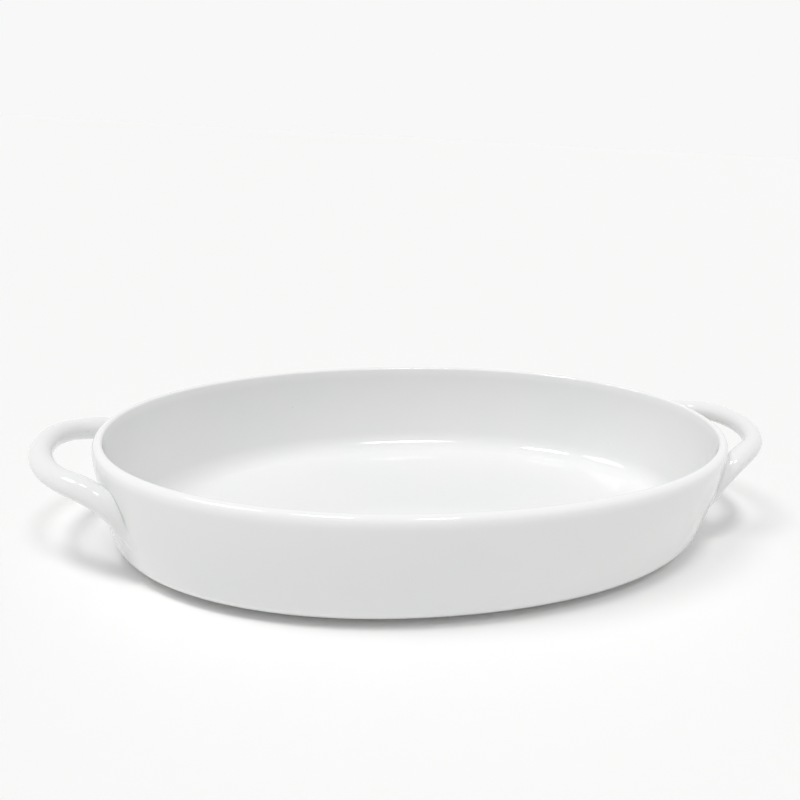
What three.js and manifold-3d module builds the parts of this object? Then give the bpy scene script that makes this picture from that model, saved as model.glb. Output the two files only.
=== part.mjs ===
// Oval baking dish in white glazed porcelain: a cast dish on a low bare foot ring, with a loop
// handle at each end. Each handle is cast by itself and luted to the wall with slip, which stays
// as a thin flared seam under its two tails.
// Millimetres, +Z up. The origin is on the table under the middle of the dish, +X runs along the
// dish towards its right handle, and -Y is its front.

import * as THREE from 'three';
import Module from 'manifold-3d';

// Dish: the rim seen from above, and the height from table to lip
const RIM_LENGTH = 310;
const RIM_WIDTH = 192;
const OVAL_FULLNESS = 2.08; // 2 is a true ellipse, and more fills its shoulders out
const DISH_HEIGHT = 55.5;

// Dish wall and floor: a draft is the wall's lean in degrees, at the lip and down at the heel
const LIP_OUTER_RADIUS = 3.1;
const LIP_INNER_RADIUS = 1.35;
const SHOULDER_RADIUS = 9; // eases the lip into the outer wall
const SHOULDER_TURN = 14; // degrees above level at which the lip takes over from it
const OUTER_LIP_DRAFT = 3;
const OUTER_HEEL_DRAFT = 15;
const HEEL_RADIUS = 11;
const INNER_LIP_DRAFT = 4;
const INNER_HEEL_DRAFT = 17;
const FLOOR_FILLET = 12;
const FLOOR_THICKNESS = 5.5;

// Foot ring under the floor
const FOOT_HEIGHT = 2;
const FOOT_WIDTH = 5;
const FOOT_SETBACK = 1.2; // in from where the heel runs level
const FOOT_EDGE_RADIUS = 0.7;

// Handle loop: a round bar bent to part of an oval, which climbs away from the wall
const BAR_DIAMETER = 9.7;
const HANDLE_REACH = 20.9; // from the rim's end out to the middle of the bar
const HANDLE_DROP = 5.3; // from the top of the lip down to the middle of the bar, at its far end
const LOOP_DEPTH = 20.2; // half the oval's size along the dish
const LOOP_WIDTH = 62.4; // the oval's size across the dish
const LOOP_SWEEP = 62.2; // degrees of the oval kept on each side of its far end
const LOOP_TILT = 14.2; // degrees of climb

// Handle tails: each end of the bar swells into a bend down the wall and tapers into it
const BEND_DIAMETER = 12.2; // what the bar swells towards, about half of which it reaches
const TIP_DIAMETER = 8.4;
const TAIL_SPACING = 78.3; // between the middles of the two tips
const TAIL_DROP = 22.8; // from the middle of the bar, at its far end, down to the tip's middle
const TAIL_SINK = 1.2; // from the wall's face in to the tip's middle
const TAIL_LEAN = 9.5; // degrees by which the tip heads into the wall
const TURN_IN = 8.1; // how far the bend holds the loop's direction
const TURN_DOWN = 18.7; // how far it holds the tip's

// Luting seam between a tail and the wall
const SEAM_THICKNESS = 0.8;
const SEAM_FLARE = 1.2; // how far it spreads round the tail
const CLEARANCE = 0.3; // left between pieces that bear on each other

// Fineness of the faces: steps round the oval, then along each arc of the section and the bar
const OVAL_STEPS = 96;
const FOOT_EDGE_STEPS = 2;
const HEEL_STEPS = 6;
const WALL_STEPS = 5;
const SHOULDER_STEPS = 2;
const LIP_STEPS = 5;
const FILLET_STEPS = 6;
const BAR_SIDES = 16;
const LOOP_STEPS = 26;
const TAIL_STEPS = 12;
const TIP_STEPS = 4;

// White glaze, and the slip under it, which shows a touch warmer where it is thin
const GLAZE_COLOUR = 0xf2f3f0;
const SEAM_COLOUR = 0xecece6;
const GLAZE_ROUGHNESS = 0.12;

const TURN_PRECISION = 1e-9; // radians, when a place on the oval is searched for

const wasm = await Module();
wasm.setup();
const radians = THREE.MathUtils.degToRad;

// A point of the rim's oval at a turn from its right end, moved in from the rim by an inset
// measured square to the oval, so that every ring of the dish runs parallel to the rim.
function ovalPoint(turn, inset) {
  const halfLength = RIM_LENGTH / 2;
  const halfWidth = RIM_WIDTH / 2;
  const along = Math.sign(Math.cos(turn)) * Math.abs(Math.cos(turn)) ** (2 / OVAL_FULLNESS);
  const across = Math.sign(Math.sin(turn)) * Math.abs(Math.sin(turn)) ** (2 / OVAL_FULLNESS);
  const normal = new THREE.Vector2(
    Math.sign(along) * Math.abs(along) ** (OVAL_FULLNESS - 1) / halfLength,
    Math.sign(across) * Math.abs(across) ** (OVAL_FULLNESS - 1) / halfWidth,
  ).normalize();
  const point = new THREE.Vector2(halfLength * along, halfWidth * across);
  return { point: point.addScaledVector(normal, -inset), normal };
}

// Points of a section are an inset from the rim and a height. An arc turns the face's outward
// normal between two angles, 0 facing out and 90 degrees up; a hollow arc has a negative radius.
function arc(start, radius, from, to, steps) {
  const points = [];
  for (let step = 1; step <= steps; step += 1) {
    const angle = from + (to - from) * step / steps;
    points.push({
      inset: start.inset - radius * (Math.cos(angle) - Math.cos(from)),
      z: start.z + radius * (Math.sin(angle) - Math.sin(from)),
    });
  }
  return points;
}

// Outside of the wall, from where the heel runs level up to the lip
function outerWall() {
  const down = radians(-90);
  const heel = radians(-OUTER_HEEL_DRAFT);
  const lip = radians(-OUTER_LIP_DRAFT);
  const shoulder = radians(SHOULDER_TURN);
  const heelHeight = HEEL_RADIUS * (Math.sin(heel) - Math.sin(down));
  const shoulderHeight = SHOULDER_RADIUS * (Math.sin(shoulder) - Math.sin(lip));
  const lipHeight = LIP_OUTER_RADIUS * (1 - Math.sin(shoulder));
  const wallHeight = DISH_HEIGHT - FOOT_HEIGHT - heelHeight - shoulderHeight - lipHeight;
  const wallRadius = wallHeight / (Math.sin(lip) - Math.sin(heel));
  const heelInset = HEEL_RADIUS * Math.cos(heel)
    + wallRadius * (Math.cos(lip) - Math.cos(heel))
    + SHOULDER_RADIUS * (1 - Math.cos(lip));
  const points = [{ inset: heelInset, z: FOOT_HEIGHT }];
  points.push(...arc(points.at(-1), HEEL_RADIUS, down, heel, HEEL_STEPS));
  points.push(...arc(points.at(-1), wallRadius, heel, lip, WALL_STEPS));
  return points;
}

// The foot ring, from the underside of the floor round its flat face to the heel
function footRing() {
  const outerInset = outerWall()[0].inset + FOOT_SETBACK;
  const innerInset = outerInset + FOOT_WIDTH;
  const points = [{ inset: innerInset, z: FOOT_HEIGHT }, { inset: innerInset, z: FOOT_EDGE_RADIUS }];
  points.push(...arc(points.at(-1), FOOT_EDGE_RADIUS, radians(180), radians(270), FOOT_EDGE_STEPS));
  points.push({ inset: outerInset + FOOT_EDGE_RADIUS, z: 0 });
  points.push(...arc(points.at(-1), FOOT_EDGE_RADIUS, radians(-90), 0, FOOT_EDGE_STEPS));
  points.push({ inset: outerInset, z: FOOT_HEIGHT });
  return points;
}

// The lip rolls over from the outer wall's shoulder, with a smaller radius on its inner side, and
// the inner wall runs down to the floor's fillet
function lipAndInside(start) {
  const lipOut = radians(-OUTER_LIP_DRAFT);
  const shoulder = radians(SHOULDER_TURN);
  const top = radians(90);
  const lipIn = radians(180 - INNER_LIP_DRAFT);
  const heel = radians(180 - INNER_HEEL_DRAFT);
  const points = arc(start, SHOULDER_RADIUS, lipOut, shoulder, SHOULDER_STEPS);
  points.push(...arc(points.at(-1), LIP_OUTER_RADIUS, shoulder, top, LIP_STEPS));
  points.push(...arc(points.at(-1), LIP_INNER_RADIUS, top, lipIn, LIP_STEPS));
  const floorHeight = FOOT_HEIGHT + FLOOR_THICKNESS;
  const filletHeight = FLOOR_FILLET * (1 - Math.sin(heel));
  const wallHeight = points.at(-1).z - filletHeight - floorHeight;
  const wallRadius = wallHeight / (Math.sin(heel) - Math.sin(lipIn));
  points.push(...arc(points.at(-1), -wallRadius, lipIn, heel, WALL_STEPS));
  points.push(...arc(points.at(-1), -FLOOR_FILLET, heel, top, FILLET_STEPS));
  return points;
}

// Closed skin through rings of equal count, each end closed by a fan about its own centre
function loft(rings) {
  const count = rings[0].length;
  const corners = rings.flat();
  const faces = [];
  for (let ring = 0; ring < rings.length - 1; ring += 1) {
    for (let side = 0; side < count; side += 1) {
      const a = ring * count + side;
      const b = ring * count + (side + 1) % count;
      faces.push(a, b, b + count, a, b + count, a + count);
    }
  }
  const last = (rings.length - 1) * count;
  const startCentre = corners.push(centreOf(rings[0])) - 1;
  const endCentre = corners.push(centreOf(rings.at(-1))) - 1;
  for (let side = 0; side < count; side += 1) {
    const next = (side + 1) % count;
    faces.push(startCentre, next, side, endCentre, last + side, last + next);
  }
  const geometry = new THREE.BufferGeometry().setFromPoints(corners);
  geometry.setIndex(faces);
  return geometry;
}

function centreOf(ring) {
  const sum = new THREE.Vector3();
  ring.forEach((point) => sum.add(point));
  return sum.divideScalar(ring.length);
}

function ovalRing({ inset, z }) {
  const ring = [];
  for (let step = 0; step < OVAL_STEPS; step += 1) {
    const { point } = ovalPoint(2 * Math.PI * step / OVAL_STEPS, inset);
    ring.push(new THREE.Vector3(point.x, point.y, z));
  }
  return ring;
}

function dishGeometry() {
  const wall = outerWall();
  const section = [...footRing(), ...wall, ...lipAndInside(wall.at(-1))];
  return loft(section.map(ovalRing));
}

// The dish's outside as a solid block, grown all round, to fit the handles to the wall
function wallBlock(growth) {
  const section = outerWall().map(({ inset, z }) => ({ inset: inset - growth, z }));
  section.push({ inset: -growth, z: DISH_HEIGHT });
  return solidOf(loft(section.map(ovalRing)));
}

// A point of the outer wall at a height and a distance across the dish, with its normal
function wallPoint(across, z) {
  const wall = outerWall();
  const above = Math.max(1, wall.findIndex((point) => point.z >= z));
  const [lower, upper] = [wall[above - 1], wall[above]];
  const inset = THREE.MathUtils.mapLinear(z, lower.z, upper.z, lower.inset, upper.inset);
  let [low, high] = [0, Math.PI / 2];
  while (high - low > TURN_PRECISION) {
    const middle = (low + high) / 2;
    if (ovalPoint(middle, inset).point.y < across) {
      low = middle;
    } else {
      high = middle;
    }
  }
  const { point, normal } = ovalPoint(low, inset);
  return {
    point: new THREE.Vector3(point.x, point.y, z),
    normal: new THREE.Vector3(normal.x, normal.y, 0),
  };
}

// Half of a right handle's middle line on the +Y side: part of the tilted oval from its far end,
// then a bend that turns down the wall to the tip of the tail
function handleHalf() {
  const farEnd = RIM_LENGTH / 2 + HANDLE_REACH;
  const farHeight = DISH_HEIGHT - HANDLE_DROP;
  const climb = Math.tan(radians(LOOP_TILT));
  const sweep = radians(LOOP_SWEEP);
  const onOval = (along, across) => {
    const x = farEnd - LOOP_DEPTH + LOOP_DEPTH * along;
    return new THREE.Vector3(x, LOOP_WIDTH / 2 * across, farHeight - (farEnd - x) * climb);
  };
  const pull = 4 / 3 * Math.tan(sweep / 4); // makes a cubic curve follow an arc of this sweep
  const loopEnd = onOval(Math.cos(sweep), Math.sin(sweep));
  const beforeEnd = onOval(
    Math.cos(sweep) + pull * Math.sin(sweep),
    Math.sin(sweep) - pull * Math.cos(sweep),
  );
  const loop = new THREE.CubicBezierCurve3(onOval(1, 0), onOval(1, pull), beforeEnd, loopEnd);

  const tipHeight = farHeight - TAIL_DROP;
  const { point: seat, normal } = wallPoint(TAIL_SPACING / 2, tipHeight);
  const tip = seat.clone().addScaledVector(normal, -TAIL_SINK);
  const above = wallPoint(TAIL_SPACING / 2, tipHeight + BAR_DIAMETER).point;
  const heading = seat.clone().sub(above).normalize().multiplyScalar(Math.cos(radians(TAIL_LEAN)));
  heading.addScaledVector(normal, -Math.sin(radians(TAIL_LEAN)));
  const inward = loopEnd.clone().sub(beforeEnd).normalize();
  const tail = new THREE.CubicBezierCurve3(
    loopEnd,
    loopEnd.clone().addScaledVector(inward, TURN_IN),
    tip.clone().addScaledVector(heading, -TURN_DOWN),
    tip,
  );
  return { loop, tail };
}

// Round bar along stations of a middle line, each with a point, a heading and a radius. The bar's
// two ends are closed by domes.
function bar(stations) {
  const domed = [...dome(stations[0], -1).reverse(), ...stations, ...dome(stations.at(-1), 1)];
  let side = new THREE.Vector3(1, 0, 0);
  const rings = domed.map(({ point, heading, radius }) => {
    const across = new THREE.Vector3().crossVectors(heading, side).normalize();
    side = new THREE.Vector3().crossVectors(across, heading);
    return Array.from({ length: BAR_SIDES }, (_, index) => {
      const angle = 2 * Math.PI * index / BAR_SIDES;
      return point.clone()
        .addScaledVector(side, radius * Math.cos(angle))
        .addScaledVector(across, radius * Math.sin(angle));
    });
  });
  return loft(rings);
}

function dome({ point, heading, radius }, direction) {
  const stations = [];
  for (let step = 1; step <= TIP_STEPS; step += 1) {
    const angle = Math.PI / 2 * step / (TIP_STEPS + 1);
    stations.push({
      point: point.clone().addScaledVector(heading, direction * radius * Math.sin(angle)),
      heading,
      radius: radius * Math.cos(angle),
    });
  }
  return stations;
}

function stationsOn(curve, steps, radiusAt) {
  const stations = [];
  for (let step = 0; step <= steps; step += 1) {
    const t = step / steps;
    stations.push({ point: curve.getPoint(t), heading: curve.getTangent(t), radius: radiusAt(t) });
  }
  return stations;
}

// A tail's radius, from the loop at 0 to the tip at 1
function tailRadius(t) {
  const swelling = THREE.MathUtils.lerp(BAR_DIAMETER, BEND_DIAMETER, t);
  const taper = THREE.MathUtils.lerp(BEND_DIAMETER, TIP_DIAMETER, t);
  return THREE.MathUtils.lerp(swelling, taper, t) / 2;
}

// The same stations on the other side of the handle, in the opposite order
function mirrored(stations) {
  const across = new THREE.Vector3(1, -1, 1);
  return stations.toReversed().map(({ point, heading, radius }) => ({
    point: point.clone().multiply(across),
    heading: heading.clone().multiply(across).negate(),
    radius,
  }));
}

// A right handle: the whole bar, less what would lie in the wall or in its luting seams
function handleGeometry() {
  const { loop, tail } = handleHalf();
  const half = stationsOn(loop, LOOP_STEPS / 2, () => BAR_DIAMETER / 2);
  half.push(...stationsOn(tail, TAIL_STEPS, tailRadius).slice(1));
  const whole = solidOf(bar([...mirrored(half), ...half.slice(1)]));
  const seat = wallBlock(CLEARANCE + SEAM_THICKNESS + CLEARANCE);
  return geometryOf(whole.subtract(seat));
}

// A seam follows the wall under one tail of a right handle and spreads a little past it
function seamGeometry(onFarSide) {
  const flared = (t) => tailRadius(t) + SEAM_FLARE;
  const stations = stationsOn(handleHalf().tail, TAIL_STEPS, flared);
  const spread = solidOf(bar(onFarSide ? stations : mirrored(stations)));
  const skin = wallBlock(CLEARANCE + SEAM_THICKNESS).subtract(wallBlock(CLEARANCE));
  return geometryOf(spread.intersect(skin));
}

function solidOf(geometry) {
  const vertProperties = new Float32Array(geometry.getAttribute('position').array);
  const triVerts = new Uint32Array(geometry.getIndex().array);
  return new wasm.Manifold(new wasm.Mesh({ numProp: 3, vertProperties, triVerts }));
}

function geometryOf(solid) {
  const { vertProperties, triVerts } = solid.getMesh();
  const geometry = new THREE.BufferGeometry();
  geometry.setAttribute('position', new THREE.BufferAttribute(vertProperties, 3));
  geometry.setIndex(new THREE.BufferAttribute(triVerts, 1));
  return geometry;
}

function piece(name, geometry, color) {
  geometry.computeVertexNormals();
  const material = new THREE.MeshStandardMaterial({ color, roughness: GLAZE_ROUGHNESS, metalness: 0 });
  const mesh = new THREE.Mesh(geometry, material);
  mesh.name = name;
  return mesh;
}

// A handle with its two seams, made at the right end and turned about the dish's middle
const handle = handleGeometry();
const farSeam = seamGeometry(true);
const nearSeam = seamGeometry(false);
function handleEnd(name, turn, farTail, nearTail) {
  const end = new THREE.Group();
  end.rotation.z = turn;
  end.add(piece(`handle_${name}`, handle, GLAZE_COLOUR));
  end.add(piece(`slip_seam_${name}_${farTail}`, farSeam, SEAM_COLOUR));
  end.add(piece(`slip_seam_${name}_${nearTail}`, nearSeam, SEAM_COLOUR));
  return end;
}

const bakingDish = new THREE.Group();
bakingDish.add(piece('dish_body', dishGeometry(), GLAZE_COLOUR));
bakingDish.add(handleEnd('right', 0, 'rear', 'front'));
bakingDish.add(handleEnd('left', Math.PI, 'front', 'rear'));

export default bakingDish;
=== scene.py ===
import math

import bpy
from mathutils import Matrix, Vector


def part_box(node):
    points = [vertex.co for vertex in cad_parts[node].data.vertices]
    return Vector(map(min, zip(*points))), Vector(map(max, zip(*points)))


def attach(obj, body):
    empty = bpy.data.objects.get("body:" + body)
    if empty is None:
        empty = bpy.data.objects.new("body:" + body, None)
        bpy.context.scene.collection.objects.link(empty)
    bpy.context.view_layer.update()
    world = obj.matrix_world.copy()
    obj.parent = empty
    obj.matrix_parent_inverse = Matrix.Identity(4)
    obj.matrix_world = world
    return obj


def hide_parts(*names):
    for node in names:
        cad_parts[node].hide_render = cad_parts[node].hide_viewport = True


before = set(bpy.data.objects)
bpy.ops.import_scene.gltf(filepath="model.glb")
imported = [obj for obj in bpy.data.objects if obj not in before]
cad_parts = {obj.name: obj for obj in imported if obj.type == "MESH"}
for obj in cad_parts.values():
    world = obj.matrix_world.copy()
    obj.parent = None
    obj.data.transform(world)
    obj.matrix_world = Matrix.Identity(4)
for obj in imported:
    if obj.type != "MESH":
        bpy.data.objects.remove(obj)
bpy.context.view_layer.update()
bpy.ops.object.select_all(action="DESELECT")
bpy.context.tool_settings.mesh_select_mode = (False, False, True)

# Dish: one casting of white porcelain, with a level floor, a heel that turns up into a leaning wall and
# a lip that is rounder on its outer side. It comes out of a plaster mould, is dipped in clear glaze and is
# fired standing on its foot ring, which is wiped bare so that it doesn't stick to the kiln shelf.
half_length, half_width, dish_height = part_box("dish_body")[1]
oval_fullness = 2.08      # 2 is a true ellipse, and more fills its shoulders out
oval_points = 256
lip_outer_radius = 0.0031
lip_inner_radius = 0.00135
shoulder_radius = 0.009   # eases the lip into the outer wall
shoulder_turn = 14        # degrees above level at which the lip takes over from it
outer_lip_draft = 3       # degrees by which the wall leans
outer_heel_draft = 15
heel_radius = 0.011
inner_lip_draft = 4
inner_heel_draft = 17
floor_fillet = 0.012
floor_height = 0.0075
floor_rings = (0.0015, 0.006, 0.014)
foot_height = 0.002
foot_setback = 0.0012
foot_width = 0.005
foot_edge = 0.0007
glaze_line = 0.0013       # the glaze is wiped off below this height
glaze_step = 0.00015      # and stands this proud of the bare clay
level_face = 0.5          # a face whose normal is steeper than this looks up or down
dish_edge_angle = math.radians(40)   # edges sharper than this stay crisp


def arc_steps(radius, start, end, count):
    """Steps inwards and upwards along an arc of a section. The angles are those of the face's outward
    normal, 0 facing out and 90 up, and a hollow arc has a negative radius."""
    turns = [math.radians(start + (end - start) * n / count) for n in range(count + 1)]
    return [
        (radius * (math.cos(a) - math.cos(b)), radius * (math.sin(b) - math.sin(a)))
        for a, b in zip(turns, turns[1:])
    ]


def select_faces(piece, wanted):
    bpy.ops.object.mode_set(mode="OBJECT")
    for face in piece.data.polygons:
        face.select = wanted(face)
    bpy.ops.object.mode_set(mode="EDIT")


def inset_along(steps, facing):
    """Works the selected flat face inwards ring by ring. Facing is 1 for a face that looks up, else -1."""
    for inwards, upwards in steps:
        bpy.ops.mesh.inset(thickness=inwards, depth=facing * upwards, use_even_offset=True)


def height_of(steps):
    return sum(upwards for _, upwards in steps)


def wall_radius(height, lower, upper):
    """Radius of the wall's long arc, which climbs by a height while its normal turns between two angles."""
    return height / (math.sin(math.radians(upper)) - math.sin(math.radians(lower)))


# The widest line of the lip's shoulder, as a thin oval band
lip = (
    arc_steps(shoulder_radius, 0, shoulder_turn, count=5)
    + arc_steps(lip_outer_radius, shoulder_turn, 90, count=10)
    + arc_steps(lip_inner_radius, 90, 180 - inner_lip_draft, count=8)
)
lip_top = lip_inner_radius * (1 - math.sin(math.radians(inner_lip_draft)))
lip_height = dish_height - height_of(lip) - lip_top
band_depth = shoulder_radius * math.sin(math.radians(outer_lip_draft))
bpy.ops.mesh.primitive_cylinder_add(
    vertices=oval_points, radius=1, depth=band_depth, location=(0, 0, lip_height - band_depth / 2)
)
dish = bpy.context.object
dish.name = "dish"
bpy.ops.object.transform_apply(location=True, rotation=True, scale=True)
for vertex in dish.data.vertices:
    along, across = vertex.co.xy.normalized()
    vertex.co.x = half_length * math.copysign(abs(along) ** (2 / oval_fullness), along)
    vertex.co.y = half_width * math.copysign(abs(across) ** (2 / oval_fullness), across)

# Up over the lip, down the inner wall and round the fillet to the floor
fillet = arc_steps(-floor_fillet, 180 - inner_heel_draft, 90, count=16)
inner_drop = lip_height + height_of(lip) + height_of(fillet) - floor_height
inner_radius = wall_radius(inner_drop, 180 - inner_lip_draft, 180 - inner_heel_draft)
inner_wall = arc_steps(-inner_radius, 180 - inner_lip_draft, 180 - inner_heel_draft, count=14)
select_faces(dish, lambda face: face.normal.z > level_face)
inset_along(lip + inner_wall + fillet + [(ring, 0) for ring in floor_rings], 1)
bpy.ops.mesh.poke()

# Down the outer wall, round the heel and over the foot ring
heel = arc_steps(heel_radius, -outer_heel_draft, -90, count=14)
outer_drop = lip_height - band_depth - foot_height + height_of(heel)
outer_radius = wall_radius(outer_drop, -outer_heel_draft, -outer_lip_draft)
outer_wall = arc_steps(outer_radius, -outer_lip_draft, -outer_heel_draft, count=14)
select_faces(dish, lambda face: face.normal.z < -level_face and len(face.vertices) > 4)
inset_along(outer_wall + heel + [(foot_setback, 0)], -1)
bpy.ops.mesh.extrude_region_move(TRANSFORM_OT_translate={"value": (0, 0, glaze_line - foot_height)})
inset_along([(glaze_step, 0)], -1)
bpy.ops.mesh.extrude_region_move(TRANSFORM_OT_translate={"value": (0, 0, foot_edge - glaze_line)})
foot_face = foot_width - 2 * (foot_edge + glaze_step)
inset_along(arc_steps(foot_edge, 0, -90, count=5) + [(foot_face, 0)], -1)
inset_along(arc_steps(foot_edge, 270, 180, count=5), -1)
bpy.ops.mesh.extrude_region_move(TRANSFORM_OT_translate={"value": (0, 0, glaze_line - foot_edge)})
inset_along([(glaze_step, 0)], -1)
bpy.ops.mesh.extrude_region_move(TRANSFORM_OT_translate={"value": (0, 0, foot_height - glaze_line)})
inset_along([(ring, 0) for ring in floor_rings], -1)
bpy.ops.mesh.poke()
bpy.ops.object.mode_set(mode="OBJECT")
bpy.ops.object.shade_smooth_by_angle(angle=dish_edge_angle)

thick_glaze = (0.872, 0.884, 0.882, 1)
thin_glaze = (0.887, 0.892, 0.885, 1)
lip_glaze_and_painted_highlight = (0.935, 0.94, 0.935, 1)   # on the lip, where the glaze ran thin and the white body shows through, and lighter still as a painted highlight
edge_top = 0.0545
edge_end = 0.0490
pooled_glaze_and_painted_shade = (0.60, 0.64, 0.645, 1)  # deep in the joint beside a handle's tail: partly pooled glaze, partly painted shade in the crease
pool_and_shade_end = 0.0265         # the pooled glaze and painted shade thin out down to this height, under the tail's tip
pool_and_shade_top = 0.0370
bare_clay = (0.70, 0.655, 0.57, 1)
stained_clay = (0.56, 0.51, 0.43, 1)
kiln_speck = (0.42, 0.36, 0.29, 1)
glaze_ior = 1.52
thickness_scale = 14      # patches to the metre, as in the scales below
speck_scale = 80
speck_core, speck_edge, speck_strength = 0.012, 0.028, 0.5
gloss_scale = 40
sharpest_gloss, softest_gloss = 0.05, 0.10
ripple_scale, ripple_height = 26, 0.00012
peel_scale, peel_height = 420, 0.000004
stain_scale = 180
grain_scale, grain_height = 2600, 0.00006
bare_roughness = 0.8
wipe_blur = 0.00003       # half the height over which the glaze gives way to clay


def glaze_material(name, has_lip_and_foot=False, pools_and_shades_joint=False):
    """Clear gloss glaze over white porcelain: it varies a little in thickness, ripples where it ran, has a
    faint orange peel and a few kiln specks. It thins out on the lip, which is painted lighter still as a
    highlight, and pools in the joints, which are painted darker still as shade, and the foot's clay is bare
    and matt."""
    material = bpy.data.materials.new(name)
    material.use_nodes = True
    nodes, links = material.node_tree.nodes, material.node_tree.links
    shader = nodes["Principled BSDF"]
    shader.inputs["IOR"].default_value = glaze_ior
    coordinates = nodes.new("ShaderNodeTexCoord")
    place = coordinates.outputs["Object"]

    def noise(scale, detail):
        node = nodes.new("ShaderNodeTexNoise")
        node.inputs["Scale"].default_value = scale
        node.inputs["Detail"].default_value = detail
        links.new(place, node.inputs["Vector"])
        return node.outputs["Fac"]

    def spread(value, low, high, to_low=0, to_high=1):
        node = nodes.new("ShaderNodeMapRange")
        node.interpolation_type = "SMOOTHSTEP"
        ends = {"From Min": low, "From Max": high, "To Min": to_low, "To Max": to_high}
        for socket, number in ends.items():
            node.inputs[socket].default_value = number
        links.new(value, node.inputs["Value"])
        return node.outputs["Result"]

    def mix(share, first, second):
        # A mix of colours has them on its sockets 6 and 7, and gives its result on 2
        node = nodes.new("ShaderNodeMix")
        node.data_type = "RGBA"
        links.new(share, node.inputs["Factor"])
        for socket, colour in ((node.inputs[6], first), (node.inputs[7], second)):
            if isinstance(colour, tuple):
                socket.default_value = colour
            else:
                links.new(colour, socket)
        return node.outputs[2]

    def bump(height, distance, under=None):
        node = nodes.new("ShaderNodeBump")
        node.inputs["Distance"].default_value = distance
        links.new(height, node.inputs["Height"])
        if under:
            links.new(under, node.inputs["Normal"])
        return node.outputs["Normal"]

    height = nodes.new("ShaderNodeSeparateXYZ")
    links.new(place, height.inputs["Vector"])
    colour = mix(spread(noise(thickness_scale, 3), 0.3, 0.7), thick_glaze, thin_glaze)
    if has_lip_and_foot:
        # Lighter towards the lip's top: partly the thinner glaze, partly a painted highlight of the
        # overhead light
        colour = mix(spread(height.outputs["Z"], edge_end, edge_top), colour, lip_glaze_and_painted_highlight)
    if pools_and_shades_joint:
        # The seam's section goes once round its UV, a quarter for each side, and the joint is at 0.75
        section = nodes.new("ShaderNodeSeparateXYZ")
        links.new(coordinates.outputs["UV"], section.inputs["Vector"])
        depth = nodes.new("ShaderNodeMath")
        depth.operation = "PINGPONG"
        depth.inputs[1].default_value = 0.25
        links.new(section.outputs["Y"], depth.inputs[0])
        # Towards the joint the seam darkens, more so higher up: partly pooled glaze, partly painted shade
        # in the crease
        pool_and_shade = mix(spread(height.outputs["Z"], pool_and_shade_end, pool_and_shade_top), colour, pooled_glaze_and_painted_shade)
        colour = mix(spread(depth.outputs["Value"], 0.10, 0.23), colour, pool_and_shade)
    cells = nodes.new("ShaderNodeTexVoronoi")
    cells.inputs["Scale"].default_value = speck_scale
    links.new(place, cells.inputs["Vector"])
    speck = spread(cells.outputs["Distance"], speck_core, speck_edge, speck_strength, 0)
    colour = mix(speck, colour, kiln_speck)
    roughness = spread(noise(gloss_scale, 4), 0.25, 0.75, sharpest_gloss, softest_gloss)
    normal = bump(noise(ripple_scale, 1), ripple_height)
    normal = bump(noise(peel_scale, 2), peel_height, normal)

    if has_lip_and_foot:
        bare = spread(height.outputs["Z"], glaze_line - wipe_blur, glaze_line + wipe_blur, 1, 0)
        grain = noise(grain_scale, 3)
        clay = mix(spread(noise(stain_scale, 5), 0.35, 0.75), bare_clay, stained_clay)
        colour = mix(bare, colour, clay)
        matt = nodes.new("ShaderNodeMix")
        links.new(bare, matt.inputs["Factor"])
        links.new(roughness, matt.inputs[2])
        matt.inputs[3].default_value = bare_roughness
        roughness = matt.outputs[0]
        grit = nodes.new("ShaderNodeMath")
        grit.operation = "MULTIPLY"
        links.new(grain, grit.inputs[0])
        links.new(bare, grit.inputs[1])
        normal = bump(grit.outputs["Value"], grain_height, normal)

    links.new(colour, shader.inputs["Base Color"])
    links.new(roughness, shader.inputs["Roughness"])
    links.new(normal, shader.inputs["Normal"])
    return material


dish.data.materials.append(glaze_material("glaze_on_dish", has_lip_and_foot=True))
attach(dish, "root")
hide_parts("dish_body")

# Handles: a loop of round bar at each end, cast solid in a mould of its own. The loop climbs away from
# the wall, and its two tails turn down, swell and are cut to sit on the wall, where slip holds them.
bar_radius = 0.00485
bar_sides = 56
far_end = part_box("handle_right")[1].x - bar_radius
far_height = 0.0502
loop_depth = 0.0202       # half the loop's oval along the dish
loop_half_width = 0.0312
loop_sweep = math.radians(62.2)
loop_climb = math.tan(math.radians(14.2))
bend_radius = 0.0061      # what the bar swells towards, about half of which it reaches
tip_radius = 0.0042
tail_across = 0.03915
tail_height = 0.0274
tail_sink = 0.0012        # from the wall's face in to the middle of the tip
tail_lean = math.radians(9.5)
turn_in = 0.0081          # how far the bend holds the loop's direction
turn_down = 0.0187        # how far it holds the tip's
tail_cuts = 3             # in each tail, for the radii between its two ends
tip_dome = 84             # degrees that the rounding of a tip turns through
merge_distance = 0.00001


def on_loop(along, across):
    x = far_end - loop_depth * (1 - along)
    return Vector((x, loop_half_width * across, far_height - (far_end - x) * loop_climb))


def wall_seat(across, height):
    """A point of the wall's outside at the right end of the dish, and the level way out of it."""
    _, point, normal, _ = dish.ray_cast(Vector((1, across, height)), Vector((-1, 0, 0)))
    return point, Vector((normal.x, normal.y, 0)).normalized()


bpy.context.view_layer.update()
pull = 4 / 3 * math.tan(loop_sweep / 4)  # makes a Bezier curve follow an arc of this sweep
cosine, sine = math.cos(loop_sweep), math.sin(loop_sweep)
loop_end = on_loop(cosine, sine)
before_end = on_loop(cosine + pull * sine, sine - pull * cosine)
after_end = loop_end + (loop_end - before_end).normalized() * turn_in
seat, way_out = wall_seat(tail_across, tail_height)
down_wall = (seat - wall_seat(tail_across, tail_height + 2 * bar_radius)[0]).normalized()
tip = seat - way_out * tail_sink
before_tip = tip - (down_wall * math.cos(tail_lean) - way_out * math.sin(tail_lean)) * turn_down

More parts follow.
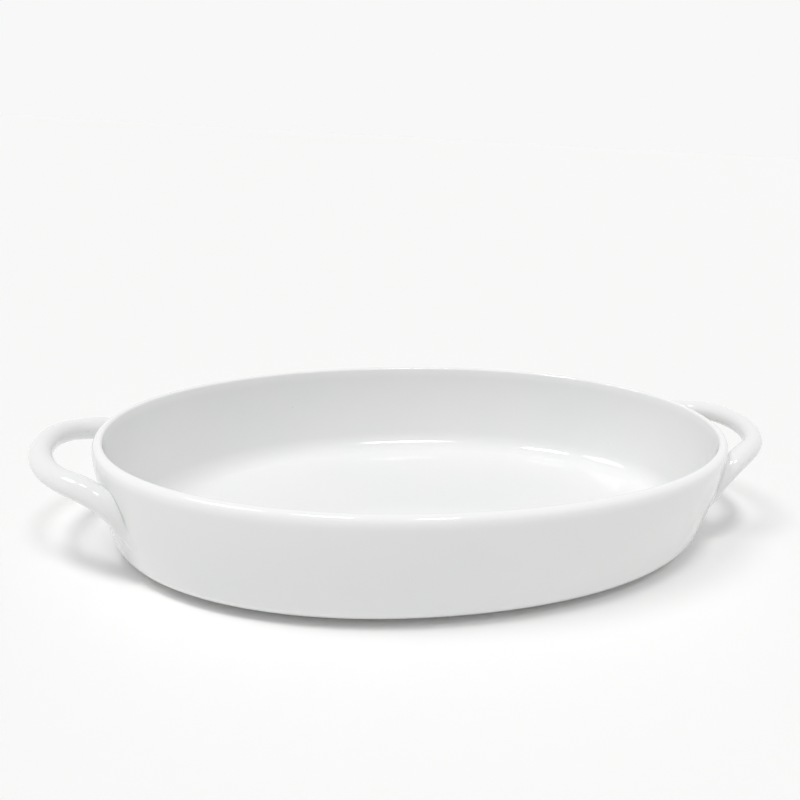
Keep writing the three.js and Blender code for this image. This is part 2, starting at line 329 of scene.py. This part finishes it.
# The bar's middle line as a Bezier curve: each point with the handles before and after it
rear_tail = [(before_end, loop_end, after_end), (before_tip, tip, tip * 2 - before_tip)]
across_dish = Vector((1, -1, 1))
front_tail = [tuple(point * across_dish for point in reversed(knot)) for knot in reversed(rear_tail)]
knots = front_tail + [(on_loop(1, -pull), on_loop(1, 0), on_loop(1, pull))] + rear_tail
bpy.ops.curve.primitive_bezier_curve_add()
bar = bpy.context.object
line = bar.data.splines[0]
line.bezier_points.add(len(knots) - len(line.bezier_points))
for point, knot in zip(line.bezier_points, knots):
    point.handle_left_type = point.handle_right_type = "FREE"
    point.handle_left, point.co, point.handle_right = knot
    point.radius = 1

# Each tail is cut into shorter lengths, and swells and tapers from one to the next
bpy.ops.object.mode_set(mode="EDIT")
bpy.ops.curve.select_all(action="DESELECT")
line = bar.data.splines[0]
for point in (*line.bezier_points[:2], *line.bezier_points[-2:]):
    point.select_control_point = True
bpy.ops.curve.subdivide(number_cuts=tail_cuts)
bpy.ops.object.mode_set(mode="OBJECT")
line = bar.data.splines[0]
for order in range(tail_cuts + 1):
    share = 1 - order / (tail_cuts + 1)
    swelling = bar_radius + (bend_radius - bar_radius) * share
    taper = bend_radius + (tip_radius - bend_radius) * share
    radius = (swelling + (taper - swelling) * share) / bar_radius
    line.bezier_points[order].radius = line.bezier_points[-1 - order].radius = radius
line.radius_interpolation = "CARDINAL"
line.resolution_u = 12
bar.data.bevel_depth = bar_radius
bar.data.bevel_resolution = bar_sides // 2 - 2
bar.data.use_fill_caps = True
bpy.ops.object.convert(target="MESH")
bar = bpy.context.object

# The two ends are rounded off
bpy.ops.object.mode_set(mode="EDIT")
bpy.ops.mesh.select_all(action="SELECT")
bpy.ops.mesh.remove_doubles(threshold=merge_distance)
bpy.ops.mesh.normals_make_consistent(inside=False)
select_faces(bar, lambda face: len(face.vertices) == 3)
bpy.ops.mesh.dissolve_faces()
inset_along(arc_steps(tip_radius, 0, tip_dome, count=8), 1)
bpy.ops.mesh.poke()
bpy.ops.object.mode_set(mode="OBJECT")
bpy.ops.object.shade_smooth()
bpy.context.view_layer.update()

# A block with the dish's outside cuts the tails to sit on the wall, and marks the cut
bpy.ops.object.select_all(action="DESELECT")
dish.select_set(True)
bpy.context.view_layer.objects.active = dish
bpy.ops.object.duplicate()
block = bpy.context.object
bpy.ops.object.mode_set(mode="EDIT")
bpy.ops.mesh.select_all(action="SELECT")
bpy.ops.mesh.convex_hull()
bpy.ops.object.mode_set(mode="OBJECT")
block.data.materials.clear()
cut_mark = bpy.data.materials.new("cut_mark")
block.data.materials.append(cut_mark)

bpy.ops.object.select_all(action="DESELECT")
bar.select_set(True)
bpy.context.view_layer.objects.active = bar
bpy.ops.object.duplicate()
right_handle = bpy.context.object
right_handle.name = "right_handle"
right_handle.data.materials.append(glaze_material("glaze_on_handles"))
fitting = right_handle.modifiers.new("fit_to_wall", "BOOLEAN")
fitting.operation = "DIFFERENCE"
fitting.solver = "EXACT"
fitting.material_mode = "TRANSFER"
fitting.object = block
bpy.ops.object.modifier_apply(modifier=fitting.name)
bpy.data.objects.remove(block)

# Slip seams: where a tail sits on the wall, the slip that holds it was sponged to a small hollow fillet
# all round, wider under the tip, and the glaze pooled in it, darkened further by painted shade in the
# crease. One for each tail.
seam_points = 144
seam_sides = 4            # rails: on the wall, in the joint, on the bar and down behind it
joint_rail = 1
tip_onset = 3             # how late on its way down the seam widens
evening_passes = 4
seam_smoothing = 2
seam_edge_angle = math.radians(50)
side_reach = 0.0010       # from the crease out on the wall and up the bar
tip_reach = 0.0040        # under the tip, up the bar
tip_run = 0.0085          # and down the wall
tip_fill = 0.7            # how full its hollow is there, where 1 is flat
feather = 0.0002          # how far its thin edges run in under the glaze


def evenly_spaced(loop, count):
    """Points at equal steps along a closed line."""
    ends = loop[1:] + loop[:1]
    lengths = [(b - a).length for a, b in zip(loop, ends)]
    step = sum(lengths) / count
    points, walked = [], 0
    for a, b, length in zip(loop, ends, lengths):
        while len(points) * step < walked + length and len(points) < count:
            points.append(a.lerp(b, (len(points) * step - walked) / length))
        walked += length
    return points


def evened_out(ways):
    """Directions round a closed line, each averaged with its neighbours."""
    return [
        (ways[n - 1] + ways[n] * 2 + ways[(n + 1) % len(ways)]).normalized() for n in range(len(ways))
    ]


def normals_on(piece, points):
    ways = [piece.closest_point_on_mesh(point)[2] for point in points]
    for _ in range(evening_passes):
        ways = evened_out(ways)
    return ways


def under_face(piece, point):
    """The nearest point on a piece, moved in under its face."""
    _, nearest, normal, _ = piece.closest_point_on_mesh(point)
    return nearest - normal * feather


def select_edges(piece, wanted):
    bpy.context.tool_settings.mesh_select_mode = (False, True, False)
    bpy.ops.object.mode_set(mode="EDIT")
    bpy.ops.mesh.select_all(action="DESELECT")
    bpy.ops.object.mode_set(mode="OBJECT")
    for edge in piece.data.edges:
        edge.select = wanted(*edge.vertices)
    bpy.ops.object.mode_set(mode="EDIT")


cut_slot = right_handle.data.materials.find("cut_mark")
select_faces(right_handle, lambda face: face.material_index == cut_slot)
bpy.ops.mesh.region_to_loop()
bpy.ops.mesh.duplicate()
bpy.ops.mesh.separate(type="SELECTED")
bpy.ops.object.mode_set(mode="OBJECT")
right_handle.data.materials.pop(index=cut_slot)
outlines = next(piece for piece in bpy.context.selected_objects if piece != right_handle)
bpy.ops.object.select_all(action="DESELECT")
outlines.select_set(True)
bpy.context.view_layer.objects.active = outlines
bpy.ops.object.convert(target="CURVE")
seam_glaze = glaze_material("glaze_in_seams", pools_and_shades_joint=True)
right_seams = {}
for outline in outlines.data.splines:
    crease = evenly_spaced([Vector(point.co[:3]) for point in outline.points], seam_points)
    from_wall = normals_on(dish, crease)
    from_bar = normals_on(bar, crease)
    top = max(point.z for point in crease)
    bottom = min(point.z for point in crease)
    bpy.ops.mesh.primitive_torus_add(major_segments=seam_points, minor_segments=seam_sides)
    seam = bpy.context.object
    for n, (point, wall_way, bar_way) in enumerate(zip(crease, from_wall, from_bar)):
        drop = ((top - point.z) / (top - bottom)) ** tip_onset
        reach = side_reach + (tip_reach - side_reach) * drop
        run = side_reach + (tip_run - side_reach) * drop
        on_wall = (bar_way - wall_way * bar_way.dot(wall_way)).normalized()
        on_bar = (wall_way - bar_way * bar_way.dot(wall_way)).normalized()
        wall_edge = under_face(dish, point + on_wall * run)
        bar_edge = under_face(bar, point + on_bar * reach)
        rails = (
            wall_edge,
            point.lerp((wall_edge + bar_edge) / 2, tip_fill * drop),
            bar_edge,
            point - (wall_way + bar_way).normalized() * reach / 2,
        )
        for side, rail in enumerate(rails):
            seam.data.vertices[n * seam_sides + side].co = rail
    # The rails on the wall, on the bar and down in the joint stay sharp, and the crease is hollowed out
    select_edges(seam, lambda a, b: a % seam_sides == b % seam_sides != joint_rail)
    bpy.ops.transform.edge_crease(value=1)
    bpy.ops.mesh.select_all(action="SELECT")
    bpy.ops.mesh.normals_make_consistent(inside=False)
    bpy.ops.object.mode_set(mode="OBJECT")
    hollow = seam.modifiers.new("hollow", "SUBSURF")
    hollow.levels = hollow.render_levels = seam_smoothing
    bpy.ops.object.modifier_apply(modifier=hollow.name)
    bpy.ops.object.shade_smooth_by_angle(angle=seam_edge_angle)
    seam.data.materials.append(seam_glaze)
    right_seams["rear" if crease[0].y > 0 else "front"] = seam
bpy.data.objects.remove(outlines)
bpy.data.objects.remove(bar)

# The left handle and its seams are the same castings, turned half round
pairs = [
    (right_handle, "right_handle", "left_handle", "handle_glaze"),
    (right_seams["rear"], "right_rear_seam", "left_front_seam", "seam_glaze"),
    (right_seams["front"], "right_front_seam", "left_rear_seam", "seam_glaze"),
]
for right_piece, right_name, left_name, finish in pairs:
    right_piece.name = right_name
    bpy.ops.object.select_all(action="DESELECT")
    right_piece.select_set(True)
    bpy.context.view_layer.objects.active = right_piece
    bpy.ops.object.duplicate()
    left_piece = bpy.context.object
    left_piece.name = left_name
    bpy.ops.object.mode_set(mode="EDIT")
    bpy.ops.mesh.select_all(action="SELECT")
    bpy.ops.transform.rotate(value=math.pi, orient_axis="Z", center_override=(0, 0, 0))
    bpy.ops.object.mode_set(mode="OBJECT")
    for piece in (right_piece, left_piece):
        words = piece.name.split("_")
        node = f"handle_{words[0]}" if finish == "handle_glaze" else f"slip_seam_{words[0]}_{words[1]}"
        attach(piece, "root")
        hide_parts(node)

# Stage: a pale floor that runs out to a background of the same tone, soft light from overhead and from both
# sides, and the camera, low in front of the dish and a little to its left.
floor_size = 60
floor_drop = 0.00005
floor_white = (0.955, 0.955, 0.95, 1)
paper_roughness = 0.9
paper_gloss = 0.1
bpy.ops.mesh.primitive_plane_add(size=floor_size, location=(0, 0, -floor_drop))
floor = bpy.context.object
floor.name = "floor"
paper = bpy.data.materials.new("floor_paper")
paper.use_nodes = True
paper_inputs = paper.node_tree.nodes["Principled BSDF"].inputs
paper_inputs["Base Color"].default_value = floor_white
paper_inputs["Roughness"].default_value = paper_roughness
paper_inputs["Specular IOR Level"].default_value = paper_gloss
floor.data.materials.append(paper)

# The room is lit from overhead, from both sides and a little from behind, and dark at the camera's end
room_levels = (("Z", 0.19), ("X", -0.53), ("X", 0.65), ("Y", 0.20))
even_level = 0.02
seen_level = 0.938        # what the camera sees behind the floor
room = bpy.data.worlds.new("studio")
bpy.context.scene.world = room
room.use_nodes = True
room_nodes, room_links = room.node_tree.nodes, room.node_tree.links


def room_sum(operation, first, second):
    node = room_nodes.new("ShaderNodeMath")
    node.operation = operation
    for socket, term in zip(node.inputs, (first, second)):
        if isinstance(term, (int, float)):
            socket.default_value = term
        else:
            room_links.new(term, socket)
    return node.outputs["Value"]


way = room_nodes.new("ShaderNodeSeparateXYZ")
room_links.new(room_nodes.new("ShaderNodeTexCoord").outputs["Generated"], way.inputs["Vector"])
room_light = even_level
for axis, level in room_levels:
    from_side = room_sum("MAXIMUM", room_sum("MULTIPLY", way.outputs[axis], level), 0)
    room_light = room_sum("ADD", from_side, room_light)
seen = room_nodes.new("ShaderNodeMix")
path = room_nodes.new("ShaderNodeLightPath").outputs
seen_rays = room_sum("MAXIMUM", path["Is Camera Ray"], path["Is Glossy Ray"])
room_links.new(room_sum("MAXIMUM", seen_rays, path["Is Transmission Ray"]), seen.inputs["Factor"])
room_links.new(room_light, seen.inputs[2])
seen.inputs[3].default_value = seen_level
room_links.new(seen.outputs[0], room_nodes["Background"].inputs["Strength"])
room_nodes["Background"].inputs["Color"].default_value = (1, 1, 1, 1)

# Three lamps high over the front of the dish: to its left, nearly overhead, and to its right. Each has a
# level, the width it is seen at, and how far it leans to the front and to the right, in degrees.
lamps = ((0.70, 20, 4, -29), (0.79, 11, 13, -9), (0.38, 9, 26.5, 11.4))
for lamp_level, lamp_spread, lean_front, lean_side in lamps:
    bpy.ops.object.light_add(type="SUN", rotation=(math.radians(lean_front), math.radians(lean_side), 0))
    lamp = bpy.context.object.data
    lamp.energy = lamp_level
    lamp.angle = math.radians(lamp_spread)

camera_distance = 0.3991
camera_height = math.radians(28.488)   # above the floor, seen from the middle of the dish
camera_side = math.radians(-16.513)    # from straight in front
aim_height = math.radians(19.418)      # where it looks, on the same two scales
aim_side = math.radians(-14.211)
camera_roll = math.radians(3.272)
bpy.ops.object.camera_add()
camera = bpy.context.object
camera.data.sensor_width = 36
camera.data.lens = 34.268
camera.data.clip_start = 0.01
stand = Vector((
    math.sin(camera_side) * math.cos(camera_height),
    -math.cos(camera_side) * math.cos(camera_height),
    math.sin(camera_height),
))
camera.matrix_world = (
    Matrix.Translation(stand * camera_distance)
    @ Matrix.Rotation(aim_side, 4, "Z")
    @ Matrix.Rotation(math.pi / 2 - aim_height, 4, "X")
    @ Matrix.Rotation(camera_roll, 4, "Z")
)
bpy.context.scene.camera = camera
bpy.context.scene.view_settings.view_transform = "Standard"
